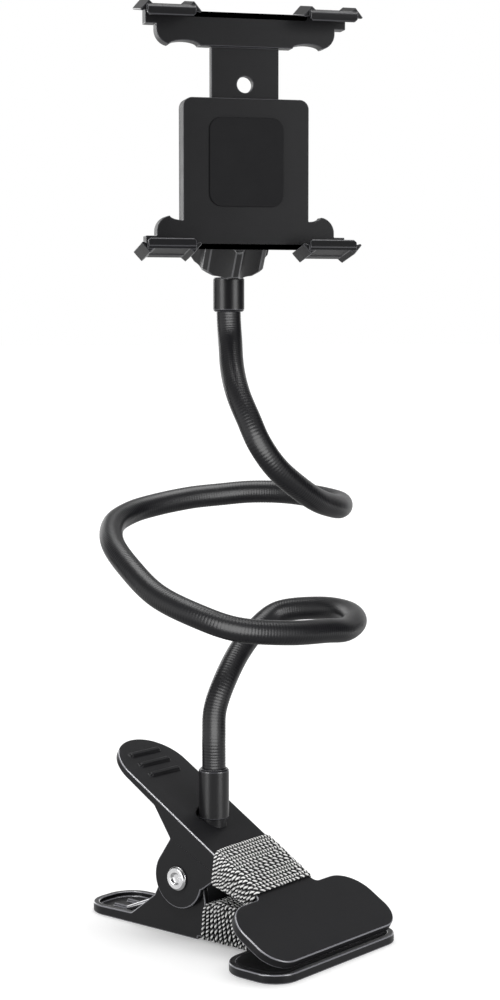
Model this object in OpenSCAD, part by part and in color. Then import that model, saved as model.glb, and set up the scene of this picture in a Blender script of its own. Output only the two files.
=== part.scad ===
// Clip-on device holder: a spring clamp, a bendable neck and a sprung cradle with four claws.
// The table is z = 0 and the clamp's pivot stands over the origin. The cradle faces -Y.

/* [Clamp] */
// Outer width of the upper jaw
jaw_w = 29; // [27:0.5:36]
// Wall thickness of both jaws
wall_t = 2.2; // [1.8:0.1:2.4]
// Thickness of the handle plates
plate_t = 2.4; // [2:0.1:3]
// From the pivot up to the top face of the upper jaw
plate_h = 17.5; // [16.5:0.5:20]
// From the pivot to the tip of the upper handle
handle_len = 50.5; // [44:0.5:60]
// From the pivot to the tip of the lower handle
tray_len = 48; // [42:1:54]
// From the pivot to the front edge of the upper pad
reach = 58; // [54:1:66]
// Slope of the upper jaw when the clamp is shut, in degrees
slope = 30; // [27:1:31]
// Width of the two gripping pads
pad_w = 67; // [58:1:76]
// Length of the two gripping pads
pad_len = 26.5; // [25:0.5:30]
// Thickness of the two gripping pads
pad_t = 3; // [2.6:0.1:4]
// Radius of the ears round the pivot
ear_r = 10.3; // [9.5:0.1:11.5]
// Radius of the hinge rivet
rivet_r = 2.4; // [2:0.1:3]
// Thickness of the cord wound on the jaws
wrap_t = 1.1; // [0.8:0.1:1.4]

/* [Neck] */
// Outer diameter of the bendable neck
neck_d = 8; // [7:0.5:9]
// Wall thickness of the two ferrules round the neck
ferrule_wall = 1.15; // [1:0.05:1.6]
// Height of the lower ferrule
ferrule_len = 17; // [14:1:22]
// Diameter of the screw that holds the lower ferrule
screw_d = 5; // [4:0.5:5]

/* [Ball joint] */
// Diameter of the ball
ball_d = 12; // [11:0.5:13]
// Diameter of the ball's stem
stem_d = 5.2; // [4.4:0.2:5.6]
// Lean of the socket from upright, in degrees
socket_lean = 40; // [36:1:42]
// Outer diameter of the fluted lock nut
nut_d = 27; // [25:0.5:28]
// Length of the lock nut
nut_len = 13; // [12:0.5:14]
// Number of flutes round the lock nut
flutes = 8; // [6:1:10]

/* [Cradle] */
// Gap between the lower and the upper claws as stored
seat_h = 71; // [66:1:80]
// Depth of the seat from the face to the lips
seat_d = 8.7; // [7.5:0.1:11]
// Distance between the two claws of a pair
claw_gap = 52; // [48:1:60]
// Width of the cradle's spine
spine_w = 41; // [40:1:46]
// Height of the cradle's spine
spine_h = 46; // [44:1:50]
// Thickness of the cradle's front shell
shell_t = 5; // [4.8:0.1:6]
// How far the upper claws can still be pulled up
open_travel = 15; // [10:1:15]

/* [Hidden] */
$fn = 64;
eps = 0.01;
big = 200;

// Clearances
fit = 0.05;
slip = 0.3;
cut = 1;

// Clamp, worked out
clamp_yaw = -54;
lip_gap = 1.05;
pivot_h = pad_t + lip_gap + reach * sin(slope) - (plate_h - pad_t) * cos(slope);
lower_w = jaw_w - 2 * wall_t - 2 * slip;
front_u = reach * cos(slope) + plate_h * sin(slope) + 0.5;
front_r = 9;
rear_r = 11;
neck_r = 2;
liner_inset = 2.4;
liner_t = 1.4;
liner_proud = 0.35;
lower_ear_r = ear_r - 1.4;
tray_rim = 3.1;
tray_floor = 1.4;
neck_lift = 1.3;
wrap_gap = 0.15;
head_r = 4.2;
head_t = 1.3;

// Lower end of the neck, worked out
ferrule_d = neck_d + 2 * ferrule_wall;
ferrule_u = 3.6;
boss_r = 7;
boss_neck_r = 4.2;
spot_r = ferrule_d / 2 + 0.9;
seat_z = pivot_h - ferrule_u * tan(slope) + plate_h / cos(slope) + 0.7;
boss_z = seat_z - 7.8;
washer_t = 1.2;
screw_head_t = 2.4;
screw_in = 8;
grip_in = 6;
neck_foot = [ferrule_u * cos(clamp_yaw), ferrule_u * sin(clamp_yaw)];

// Ball joint and upper end of the neck, worked out
head_at = [6, -9, 231.5];
ball_r = ball_d / 2;
stem_r = stem_d / 2;
cup_t = 0.95;
collar_t = 1.55;
bore_r = ball_r + cup_t + fit;
collar_r = bore_r + collar_t;
nut_mouth = -4;
collar_mouth = nut_mouth + 1.2;
cup_mouth = -1.6;
collar_end = nut_mouth + nut_len + 0.5;
stem_clear = 5.38;
top_ferrule_z = head_at[2] - stem_clear - ferrule_d / 2 * tan(socket_lean);
top_ferrule_len = 11.3;

// Cradle, worked out
cover_y = -17.5;
cover_t = 2;
split_y = cover_y - cover_t;
face_y = split_y - shell_t;
arm_h = 9;
arm_half = claw_gap / 2 + 3;
tongue_w = 22;
tongue_t = 3;
tongue_z = 23.5;
lug_out = 4;
lug_h = 2;
lug_z = spine_h - 3 - open_travel - lug_h;
pocket_half = tongue_w / 2 + lug_out + slip + 0.8;
spring_x = tongue_w / 2 + 2.3;
claw_t = 1.8;
claw_slope = 9.5;
lip_t = 1.6;
lip_hook = 1.5;
lip_nose = 0.7;
lip_half = 7.65;
band_half = 5.6;
pad_skin = 0.8;
screw_spots = [for (x = [-1, 1], z = [4, spine_h - 4]) [x * (spine_w / 2 - 2.1), z]];

// Route of the neck's centre line, from the lower ferrule up to the ball joint
ROUTE = [[3, -1, 76], [7, 2, 85], [14, 9, 94], [22, 15, 101], [31, 18, 106], [43, 10, 108],
    [49, -2, 108], [48, -16, 107], [41, -28, 106], [32, -36, 107], [17, -44, 108],
    [0, -46, 110], [-12, -40, 114], [-22, -27, 119], [-28, -13, 126], [-31, 4, 133],
    [-28, 19, 138], [-20, 30, 141], [-10, 36, 143], [3, 39, 145], [14, 39, 146],
    [25, 36, 147], [36, 30, 147], [45, 20, 146], [49, 7, 145], [44, -9, 145], [34, -21, 148],
    [25, -29, 153], [16, -34, 160], [10, -35, 168], [7, -32, 176], [5, -26, 184],
    [5, -18, 192], [6, -11, 201]];

// Vector helpers for the swept wires and the neck
function unit(v) = v / norm(v);
function between(a, b, c, d, t) = 0.5 * (2 * b + (c - a) * t + (2 * a - 5 * b + 4 * c - d) * t * t
    + (3 * b - a - 3 * c + d) * t * t * t);
function smooth(p, parts) = let(n = len(p))
    [for (i = [0 : n - 2], k = [0 : parts - 1])
        between(p[max(i - 1, 0)], p[i], p[i + 1], p[min(i + 2, n - 1)], k / parts), p[n - 1]];
function heading(p, i) = unit(p[min(i + 1, len(p) - 1)] - p[max(i - 1, 0)]);
function sides_of(t, n, i) = i == len(t) ? [] :
    let(m = unit(n - (n * t[i]) * t[i])) concat([m], sides_of(t, m, i + 1));

// A round wire of radius r swept along the points p
module swept(p, r, k, first) {
    t = [for (i = [0 : len(p) - 1]) heading(p, i)];
    s = sides_of(t, first, 0);
    rings = [for (i = [0 : len(p) - 1], j = [0 : k - 1])
        p[i] + r * (cos(360 * j / k) * s[i] + sin(360 * j / k) * cross(t[i], s[i]))];
    left = [for (i = [0 : len(p) - 2], j = [0 : k - 1])
        [i * k + j, (i + 1) * k + j, (i + 1) * k + (j + 1) % k]];
    right = [for (i = [0 : len(p) - 2], j = [0 : k - 1])
        [i * k + j, (i + 1) * k + (j + 1) % k, i * k + (j + 1) % k]];
    foot = [for (j = [0 : k - 1]) j];
    top = [for (j = [k - 1 : -1 : 0]) (len(p) - 1) * k + j];
    polyhedron(rings, concat(left, right, [foot, top]), convexity = 10);
}

// Frames of the assembly
module on_clamp() { rotate([0, 0, clamp_yaw]) children(); }
module on_upper() { on_clamp() translate([0, 0, pivot_h]) rotate([0, slope, 0]) children(); }
module on_head() { translate(head_at) children(); }
module on_socket() { on_head() rotate([socket_lean, 0, 0]) children(); }
module across(w) { rotate([90, 0, 0]) linear_extrude(w, center = true, convexity = 6) children(); }

// Plan of a handle: a straight strip with a round tip
module handle_plan(tip, half, r, end, inset) {
    translate([-tip + r, -half + inset]) square([end + tip - r, 2 * (half - inset)]);
    for (side = [-1, 1]) translate([-tip + r, side * (half - r)]) circle(r - inset);
    if (half > r) translate([-tip + inset, r - half]) square([r, 2 * (half - r)]);
}

// Plan of a gripping pad, whose front edge lies at x = front
module pad_plan(front, inset) {
    half = pad_w / 2 - inset;
    rear = front - pad_len + inset;
    head = front - inset;
    rf = front_r - inset;
    rr = rear_r - inset;
    difference() {
        translate([rear, -half]) square([head - rear, 2 * half]);
        for (side = [-1, 1]) {
            corner(head, side * half, -1, -side, rf);
            corner(rear, side * half, 1, -side, rr);
        }
    }
}

// What a round corner of radius r takes off a square one at (x, y)
module corner(x, y, dx, dy, r) {
    translate([x, y]) mirror([dx < 0 ? 1 : 0, 0]) mirror([0, dy < 0 ? 1 : 0]) difference() {
        translate([-cut, -cut]) square(r + cut);
        translate([r, r]) circle(r);
    }
}

// The hollow corners where a neck of half width half meets the pad's rear edge at x = rear
module neck_corners(rear, half) {
    for (side = [-1, 1]) mirror([0, side < 0 ? 1 : 0]) translate([rear - neck_r, half])
        difference() {
            translate([0, -cut]) square([neck_r + cut, neck_r + cut]);
            translate([0, neck_r]) circle(neck_r);
        }
}

// Side view of the upper jaw's walls, along the jaw and up from the pivot
module upper_side() {
    circle(ear_r);
    polygon([[-handle_len - 1, plate_h - 2.2], [-21, plate_h - 2.8], [-9.6, 9.4], [-ear_r, 0], [0, 0],
        [ear_r, 3.4], [12.6, 8.6], [reach - pad_len, plate_h - 4.2], [reach - pad_len + 4, plate_h - pad_t],
        [reach - pad_len + 4, plate_h], [-handle_len - 1, plate_h]]);
}

// Side view of the lower jaw's walls, along the table and up from it
module lower_side() {
    translate([0, pivot_h]) circle(lower_ear_r);
    polygon([[-tray_len - 1, 0], [-tray_len - 1, tray_rim], [-24, tray_rim + 0.5], [-13, 12],
        [-lower_ear_r, pivot_h], [lower_ear_r, pivot_h], [10.4, 11.2], [18, 13.8], [25.4, 12.8],
        [front_u - pad_len + 1.5, pad_t], [front_u - pad_len + 1.5, 0]]);
}

module upper_jaw() {
    half = jaw_w / 2;
    color("#333336") difference() {
        union() {
            on_upper() upper_shell(half);
            intersection() {
                on_clamp() translate([ferrule_u, 0, boss_z]) cylinder(h = 14, r = boss_r);
                on_upper() translate([-big / 2, -big / 2, plate_h - plate_t - big])
                    cube([big, big, big + plate_t / 2]);
            }
            on_clamp() translate([ferrule_u, 0, boss_z]) cylinder(h = seat_z - boss_z, r = boss_neck_r);
        }
        on_upper() {
            rotate([90, 0, 0]) cylinder(h = jaw_w + 2 * cut, r = rivet_r + 2 * fit, center = true);
            translate([0, 0, plate_h - pad_t - cut]) linear_extrude(cut + liner_t - liner_proud)
                upper_pocket(liner_inset);
        }
        on_clamp() translate([ferrule_u, 0, 0]) {
            translate([0, 0, seat_z]) cylinder(h = 12, r = spot_r);
            cylinder(h = seat_z + cut, r = screw_d / 2 + 0.25);
        }
    }
}

// The moulding as it comes from the tool, before drilling
module upper_shell(half) {
    front = reach;
    rear = reach - pad_len;
    translate([0, 0, plate_h - plate_t]) linear_extrude(plate_t)
        handle_plan(handle_len, half, half, rear + 5, 0);
    translate([0, 0, plate_h - pad_t]) linear_extrude(pad_t) {
        pad_plan(front, 0);
        neck_corners(rear, half);
    }
    intersection() {
        translate([0, 0, -ear_r - cut]) linear_extrude(ear_r + cut + plate_h) difference() {
            handle_plan(handle_len, half, half, rear + 4, 0);
            handle_plan(handle_len, half, half, rear + 6, wall_t);
        }
        across(jaw_w + 2 * cut) upper_side();
    }
    for (i = [0 : 2]) translate([-43 + 5.4 * i, 0, plate_h]) grip_ridge();
    for (side = [-1, 1]) translate([-handle_len + half, side * 4.6, plate_h - plate_t - 1.2])
        stiffener(30);
}

// One raised grip rib: a round-ended bar with sloping flanks
module grip_ridge() {
    across_half = 7.4;
    rotate([90, 0, 0]) linear_extrude(2 * across_half - 2, center = true)
        polygon([[-1.3, -eps], [1.3, -eps], [0.7, 0.9], [-0.7, 0.9]]);
    for (side = [-1, 1]) translate([0, side * (across_half - 1), -eps])
        cylinder(h = 0.9 + eps, r1 = 1.3, r2 = 0.7);
}

// A low rib along the inside of a handle
module stiffener(length) {
    translate([0, -0.6, 0]) cube([length, 1.2, 1.4]);
}

module upper_pocket(inset) {
    difference() {
        pad_plan(reach, inset);
        translate([0, -jaw_w / 2]) square([reach - pad_len + 5, jaw_w]);
    }
}

module upper_liner() {
    color("#1c1c1e") on_upper() translate([0, 0, plate_h - pad_t - liner_proud])
        linear_extrude(liner_t) upper_pocket(liner_inset + 0.1);
}

module lower_jaw() {
    half = lower_w / 2;
    rear = front_u - pad_len;
    color("#2f2f32") on_clamp() difference() {
        union() {
            linear_extrude(tray_floor) handle_plan(tray_len, half, 10, rear + 3, 0);
            linear_extrude(pad_t) {
                pad_plan(front_u, 0);
                neck_corners(rear, half);
            }
            intersection() {
                linear_extrude(pivot_h + ear_r) difference() {
                    handle_plan(tray_len, half, 10, rear + 1.5, 0);
                    handle_plan(tray_len, half, 10, rear - 0.7, wall_t);
                }
                across(lower_w + 2 * cut) lower_side();
            }
            translate([7, -half + 1, 0]) cube([rear - 7, 2 * half - 2, neck_lift + 2]);
            for (y = [-3.4, 3.4]) translate([-tray_len + 8, y, tray_floor - 0.5]) stiffener(26);
        }
        translate([0, 0, pivot_h]) rotate([90, 0, 0])
            cylinder(h = jaw_w, r = rivet_r + fit, center = true);
        translate([0, 0, pad_t - liner_t + liner_proud]) linear_extrude(pad_t) lower_pocket(liner_inset);
        translate([6.6, -half - cut, -cut]) cube([rear - 7.2, lower_w + 2 * cut, neck_lift + cut]);
    }
}

module lower_pocket(inset) {
    difference() {
        pad_plan(front_u, inset);
        translate([0, -lower_w / 2 - 1]) square([front_u - pad_len + 4, lower_w + 2]);
    }
}

module lower_liner() {
    color("#1c1c1e") on_clamp() translate([0, 0, pad_t - liner_t + liner_proud])
        linear_extrude(liner_t) lower_pocket(liner_inset + 0.1);
}

// A tubular rivet with two rolled heads
module hinge_rivet() {
    half = jaw_w / 2 + 0.1;
    color("silver") on_clamp() translate([0, 0, pivot_h]) rotate([90, 0, 0]) rotate_extrude()
        polygon([[0, -half - 0.5], [1.5, -half - 0.5], [2.1, -half - head_t], [3.5, -half - head_t],
            [head_r, -half - 0.6], [head_r, -half], [rivet_r, -half], [rivet_r, half],
            [head_r, half], [head_r, half + 0.6], [3.5, half + head_t], [2.1, half + head_t],
            [1.5, half + 0.5], [0, half + 0.5]]);
}

// The clamp's spring: a lower leg, the coil round the rivet, and an upper leg
module torsion_spring() {
    coil_r = 4.6;
    wire_r = 1;
    turns = 5;
    half = 6.5;
    lean = 15;
    a0 = -72;
    a1 = 90 - slope - lean + 360 * turns;
    low = [-31, -half + 0.6, tray_floor + fit + wire_r];
    steps = 12 * turns;
    coil = [for (i = [0 : steps]) let(a = a0 + (a1 - a0) * i / steps)
        [coil_r * cos(a), -half + 2 * half * i / steps, pivot_h + coil_r * sin(a)]];
    leg = (plate_h - plate_t - wire_r - fit - coil_r * cos(lean)) / sin(lean);
    high = coil[steps] + leg * [-sin(a1), 0, cos(a1)];
    color("gainsboro") on_clamp()
        swept(concat([low, low + (coil[0] - low) * 0.5], coil, [coil[steps] + (high - coil[steps]) * 0.5,
            high]), wire_r, 8, [0, 1, 0]);
}

// Outline of the cord wound round the upper jaw's neck, grown by g
module upper_wrap_side(g, reach_out) {
    x0 = 7.6 - reach_out;
    x1 = reach - pad_len - 1.3 + reach_out;
    y1 = plate_h - 4.2 + (x1 - reach + pad_len) * 0.24;
    polygon([[x0, plate_h + g], [x1, plate_h + g], [x1, y1 - g], [12.6, 8.5 - g],
        [12.6 - 0.67 * reach_out, 8.5 - g - 1.8 * reach_out]]);
}

module upper_sleeve() {
    color("gray") on_upper() difference() {
        across(jaw_w + 2 * (wrap_gap + wrap_t)) upper_wrap_side(wrap_gap + wrap_t, 0);
        across(jaw_w + 2 * wrap_gap) upper_wrap_side(wrap_gap, 3);
    }
}

// Outline of the cord wound round the lower jaw's neck
module lower_sleeve() {
    w0 = neck_lift - wrap_gap;
    out = wrap_gap + wrap_t;
    color("gray") on_clamp() difference() {
        across(lower_w + 2 * out)
            polygon([[7.4, w0 - wrap_t], [front_u - pad_len - 3, w0 - wrap_t], [25.6, 12.8 + out],
                [18, 13.8 + out], [10.4, 11.3 + out]]);
        across(lower_w + 2 * wrap_gap)
            polygon([[0, w0], [front_u - pad_len + 4, w0], [front_u - pad_len + 4, 3.2],
                [25.4 + wrap_gap, 12.8 + wrap_gap], [18, 13.8 + wrap_gap], [10.4 + wrap_gap, 11.2 + wrap_gap],
                [9.6, 22], [0, 22]]);
    }
}

module base_screw() {
    z0 = boss_z - washer_t;
    color("silver") on_clamp() translate([ferrule_u, 0, z0]) {
        rotate_extrude() polygon([[0, -screw_head_t + 1], [1.4, -screw_head_t + 1], [1.4, -screw_head_t],
            [3.4, -screw_head_t], [4.3, -screw_head_t + 0.8], [4.3, 0], [screw_d / 2, 0],
            [screw_d / 2, seat_z - z0 + screw_in], [0, seat_z - z0 + screw_in]]);
    }
}

module base_washer() {
    color("silver") on_clamp() translate([ferrule_u, 0, boss_z - washer_t]) difference() {
        cylinder(h = washer_t, r = 5.2);
        translate([0, 0, -cut]) cylinder(h = washer_t + 2 * cut, r = screw_d / 2 + 0.2);
    }
}

// Turned ferrule that holds the foot of the neck
module base_ferrule() {
    r = ferrule_d / 2;
    top = seat_z + ferrule_len;
    web = seat_z + screw_in + 0.6;
    socket = top - grip_in - 0.5;
    color("#232325") translate([neck_foot[0], neck_foot[1], 0]) rotate_extrude()
        polygon([[screw_d / 2 + fit, seat_z], [r - 0.3, seat_z], [r, seat_z + 0.3], [r, top - 0.7],
            [r - 0.5, top], [neck_d / 2 + fit, top], [neck_d / 2 + fit, socket], [0, socket], [0, web],
            [screw_d / 2 + fit, web]]);
}

// The bendable neck in its stored bend
module gooseneck() {
    foot = [neck_foot[0], neck_foot[1], seat_z + ferrule_len - grip_in];
    low = [neck_foot[0], neck_foot[1], seat_z + ferrule_len + 3];
    high = [head_at[0], head_at[1], top_ferrule_z - top_ferrule_len - 2];
    top = [head_at[0], head_at[1], top_ferrule_z - top_ferrule_len + grip_in - 1];
    color("#1e1e20") swept(concat([foot], smooth(concat([low, low + [0, 0, 8]], ROUTE, [high]), 2), [top]),
        neck_d / 2, 12, [1, 0, 0]);
}

// Turned ferrule that carries the ball's stem
module top_ferrule() {
    r = ferrule_d / 2;
    low = top_ferrule_z - top_ferrule_len;
    color("#232325") translate([head_at[0], head_at[1], 0]) rotate_extrude()
        polygon([[neck_d / 2 + fit, low], [r - 0.6, low], [r, low + 0.7], [r, top_ferrule_z - 0.4],
            [r - 0.4, top_ferrule_z], [stem_r + fit, top_ferrule_z], [stem_r + fit, top_ferrule_z - 4],
            [0, top_ferrule_z - 4], [0, low + grip_in - 0.8], [neck_d / 2 + fit, low + grip_in - 0.8]]);
}

module ball_stud() {
    color("silver") on_head() {
        sphere(ball_r);
        translate([0, 0, -head_at[2] + top_ferrule_z - 3.8])
            cylinder(h = head_at[2] - top_ferrule_z + 3.8, r = stem_r);
    }
}

// Plastic cup between the ball and the collar
module ball_seat() {
    color("whitesmoke") on_socket() difference() {
        translate([0, 0, cup_mouth]) cylinder(h = ball_r + 1 - cup_mouth, r = ball_r + cup_t);
        sphere(ball_r + fit);
        translate([0, 0, cup_mouth - cut]) cylinder(h = cut + 0.5, r1 = ball_r + 0.4, r2 = ball_r - 0.2);
    }
}

// Fluted lock nut round the collar
module locking_nut() {
    r = nut_d / 2;
    flute_r = 6;
    flute_at = r + flute_r - 2.2;
    top = nut_mouth + nut_len;
    color("#2a2a2c") on_socket() difference() {
        rotate_extrude() polygon([[collar_r - 1.2, nut_mouth], [r - 1.8, nut_mouth], [r, nut_mouth + 2.2],
            [r, top - 0.8], [r - 0.8, top], [collar_r + fit, top], [collar_r + fit, nut_mouth + 1.1],
            [collar_r - 1.2, nut_mouth + 0.9]]);
        for (i = [0 : flutes - 1]) rotate([0, 0, 360 * (i + 0.5) / flutes - 90])
            translate([flute_at, 0, nut_mouth - cut]) cylinder(h = nut_len + 2 * cut, r = flute_r);
    }
}

// Back of the cradle, moulded in one with the split collar for the ball
module rear_cover() {
    color("#262628") difference() {
        union() {
            on_head() translate([0, cover_y, 0]) rotate([90, 0, 0]) linear_extrude(cover_t)
                rounded_plate(spine_w, 0, spine_h, 3);
            difference() {
                on_socket() translate([0, 0, collar_mouth]) cylinder(h = 40, r = collar_r);
                on_socket() difference() {
                    translate([0, 0, collar_end]) cylinder(h = big, r = collar_r + cut);
                    translate([0, 0, collar_end - cut]) cylinder(h = big, r = collar_r - 0.9);
                }
                on_head() translate([-big / 2, cover_y - big - 0.5, -big / 2]) cube([big, big, big]);
            }
            on_head() for (x = [-1, 1]) translate([x * 4.6, 0, 0]) cover_rib();
        }
        on_socket() {
            translate([0, 0, collar_mouth - cut]) cylinder(h = cut + ball_r + 1.1 - collar_mouth, r = bore_r);
            for (a = [45, 135]) rotate([0, 0, a]) translate([-collar_r - cut, -0.6, collar_mouth - cut])
                cube([2 * (collar_r + cut), 1.2, 5.6 + cut]);
        }
        on_head() for (p = screw_spots) translate([p[0], cover_y + cut, p[1]]) rotate([90, 0, 0])
            cylinder(h = cover_t + 2 * cut, r = 1.05);
    }
}

// A rib from the cover up along the top of the collar's arm
module cover_rib() {
    rotate([90, 0, 90]) linear_extrude(1.6, center = true)
        polygon([[cover_y - 0.5, 24], [cover_y - 0.5, 40], [cover_y + 1, 40], [-11.5, 24], [-12, 18]]);
}

// A plate x wide with round corners, from z0 up by h, drawn flat
module rounded_plate(x, z0, h, r) {
    difference() {
        translate([-x / 2, z0]) square([x, h]);
        for (side = [-1, 1]) {
            corner(side * x / 2, z0, -side, 1, r);
            corner(side * x / 2, z0 + h, -side, -1, r);
        }
    }
}

module cover_screws() {
    color("silver") on_head() for (p = screw_spots) translate([p[0], cover_y, p[1]]) rotate([90, 0, 0]) {
        translate([0, 0, -0.9]) difference() {
            cylinder(h = 0.9, r = 1.7);
            translate([0, 0, -cut]) cylinder(h = cut + 0.5, r = 0.7, $fn = 6);
        }
        cylinder(h = cover_t + 3.4, r = 0.95);
    }
}

// Section of a claw: a band with a sharp rib standing out along each side
module claw_section() {
    translate([-band_half - 0.6, 0]) square([2 * band_half + 1.2, claw_t]);
    for (side = [-1, 1]) mirror([side < 0 ? 1 : 0, 0])
        polygon([[4.8, 0.3], [band_half, claw_t], [7.1, claw_t + 1.3], [9.7, 0.1], [9.2, -0.35], [7, 0.3]]);
}

// One lower claw. The seat face meets the lip at the origin, and the claw reaches back to the shell.
module claw() {
    depth = seat_d + shell_t + 0.4;
    rotate([-claw_slope, 0, 0]) translate([0, depth, 0]) rotate([90, 0, 0]) mirror([0, 1, 0])
        linear_extrude(depth) claw_section();
    difference() {
        rotate([90, 0, 90]) linear_extrude(2 * lip_half, center = true)
            polygon([[0, -claw_t], [-0.6, -claw_t], [-lip_t, -lip_nose - 0.3], [-lip_t, -lip_nose + 0.2],
                [-0.9, lip_hook - 0.2], [-0.6, lip_hook], [0, lip_hook]]);
        for (side = [-1, 1]) translate([side * lip_half, 0, lip_hook]) rotate([0, 45, 0])
            cube([1.1, 3 * lip_t, 1.1], center = true);
    }
}

// A pair of claws on their cross arm, as on the lower edge of the cradle
module claw_pair() {
    difference() {
        for (side = [-1, 1]) translate([side * claw_gap / 2, face_y - seat_d, 0]) claw();
        translate([-big / 2, split_y, -big / 2]) cube([big, big, big]);
    }
    translate([0, split_y, 0]) rotate([90, 0, 0]) linear_extrude(shell_t) difference() {
        union() {
            translate([-arm_half, 0]) square([2 * arm_half, arm_h]);
            for (side = [-1, 1]) translate([side * claw_gap / 2 - band_half - 0.9, -3.4])
                square([2 * band_half + 1.8, 6]);
        }
        for (side = [-1, 1]) corner(side * arm_half, arm_h, -side, -1, 5);
        for (side = [-1, 1]) translate([side * (arm_half - 9), arm_h]) scale([1.6, 0.5]) circle(3);
    }
}

// Front shell of the cradle: the spine with its channel, and the lower pair of claws
module cradle_base() {
    half = tongue_w / 2 + 0.2;
    depth = tongue_t + 0.4;
    color("#2c2c2e") on_head() difference() {
        union() {
            translate([0, split_y, 0]) rotate([90, 0, 0]) linear_extrude(shell_t)
                rounded_plate(spine_w, 0, spine_h, 3);
            claw_pair();
        }
        translate([-half, split_y - depth, 2.5]) cube([2 * half, depth + cut, spine_h]);
        translate([-pocket_half, split_y - depth, 2.5]) cube([2 * pocket_half, depth + cut, spine_h - 5.5]);
        for (p = screw_spots) translate([p[0], split_y + cut, p[1]]) rotate([90, 0, 0])
            cylinder(h = 3.6 + cut, r = 1);
    }
    color("#2c2c2e") on_head() for (x = [-1, 1]) translate([x * spring_x, split_y - tongue_t - 0.5, 5])
        rotate([-90, 0, 0]) cylinder(h = 2.6, r = 0.8);
}

// The upper pair of claws and the tongue that slides in the spine
module cradle_slider() {
    color("#303032") on_head() difference() {
        union() {
            translate([0, 0, seat_h]) mirror([0, 0, 1]) claw_pair();
            translate([-tongue_w / 2, split_y - tongue_t - 0.2, tongue_z])
                cube([tongue_w, tongue_t, seat_h - arm_h - tongue_z + 2]);
            for (x = [-1, 1]) translate([x * (tongue_w + lug_out) / 2 - lug_out / 2, split_y - tongue_t - 0.2,
                lug_z]) cube([lug_out, tongue_t, lug_h]);
        }
        for (z = [0 : 2]) translate([0, split_y - tongue_t, tongue_z + 9 + 9 * z]) rotate([90, 0, 0])
            cylinder(h = 2 * tongue_t, r = 2.6, center = true);
    }
}

// Soft strip on the front of the spine
module face_pad() {
    color("#151516") on_head() translate([0, face_y, 0]) rotate([90, 0, 0]) linear_extrude(0.6)
        rounded_plate(24, 12, 28, 4);
}

// Soft skin inside one claw
module claw_pad(side) {
    length = seat_d - 0.6;
    translate([side * claw_gap / 2, face_y - seat_d, 0]) rotate([-claw_slope, 0, 0])
        translate([-5, 0.4, 0]) cube([10, length, pad_skin]);
}
module claw_pad_lower_left() { color("#151516") on_head() claw_pad(-1); }
module claw_pad_lower_right() { color("#151516") on_head() claw_pad(1); }
module claw_pad_upper_left() {
    color("#151516") on_head() translate([0, 0, seat_h]) mirror([0, 0, 1]) claw_pad(-1);
}
module claw_pad_upper_right() {
    color("#151516") on_head() translate([0, 0, seat_h]) mirror([0, 0, 1]) claw_pad(1);
}

// Extension spring between a peg in the spine and a lug of the slider
module claw_spring(side) {
    r = 1.4;
    wire_r = 0.35;
    z0 = 6.2;
    z1 = lug_z - wire_r - 0.05;
    turns = 6;
    y = split_y - tongue_t / 2 - 0.2;
    steps = 8 * turns;
    color("silver") on_head() translate([side * spring_x, y, 0])
        swept([for (i = [0 : steps]) let(a = 360 * turns * i / steps)
            [r * cos(a), r * sin(a), z0 + (z1 - z0) * i / steps]], wire_r, 6, [0, 0, 1]);
}
module claw_spring_left() { claw_spring(-1); }
module claw_spring_right() { claw_spring(1); }

lower_jaw();
upper_jaw();
hinge_rivet();
torsion_spring();
lower_liner();
upper_liner();
lower_sleeve();
upper_sleeve();
base_screw();
base_washer();
base_ferrule();
gooseneck();
top_ferrule();
ball_stud();
ball_seat();
locking_nut();
rear_cover();
cover_screws();
cradle_base();
cradle_slider();
face_pad();
claw_pad_lower_left();
claw_pad_lower_right();
claw_pad_upper_left();
claw_pad_upper_right();
claw_spring_left();
claw_spring_right();
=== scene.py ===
# %% [markdown]
# # A clip-on device holder
# A sprung clamp carries a bendable neck, and the neck carries a cradle with four claws. The packed
# model gives every solid its place in metres. This lesson gives the solids their finish: rounded
# edges, a ribbed sheath, a cord of two twisted yarns wound on the jaws, real spring wire, and the
# grain of moulded plastic.

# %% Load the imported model
import math
import random

import bpy
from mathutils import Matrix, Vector


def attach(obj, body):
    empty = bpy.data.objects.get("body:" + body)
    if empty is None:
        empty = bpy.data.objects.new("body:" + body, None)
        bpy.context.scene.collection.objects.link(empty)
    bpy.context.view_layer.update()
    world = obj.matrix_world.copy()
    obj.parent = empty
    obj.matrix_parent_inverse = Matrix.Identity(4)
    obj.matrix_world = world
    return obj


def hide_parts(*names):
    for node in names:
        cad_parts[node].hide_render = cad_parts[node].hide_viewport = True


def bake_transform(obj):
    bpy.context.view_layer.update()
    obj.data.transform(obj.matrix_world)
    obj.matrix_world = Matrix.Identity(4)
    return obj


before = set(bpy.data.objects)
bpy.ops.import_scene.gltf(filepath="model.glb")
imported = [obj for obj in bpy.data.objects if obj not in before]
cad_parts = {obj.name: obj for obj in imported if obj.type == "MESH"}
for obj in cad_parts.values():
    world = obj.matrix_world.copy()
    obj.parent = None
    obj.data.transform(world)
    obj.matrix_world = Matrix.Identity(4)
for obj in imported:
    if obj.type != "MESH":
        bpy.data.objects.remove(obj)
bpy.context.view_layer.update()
scene = bpy.context.scene
MM = 0.001

# %% [markdown]
# ## Camera
# The picture was taken with a long lens, from a little above the middle of the neck and slightly to
# the left. A lens of 72 mm on a 36 mm sensor gives that flat perspective. The aim is a heading and
# a downward tilt rather than a target point, because both were measured.

# %% Camera
CAMERA_AT = (-0.148, -0.6557, 0.2035)
HEADING = 14.0
TILT_DOWN = 4.77
LENS = 72
SENSOR_WIDTH = 36

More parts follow.
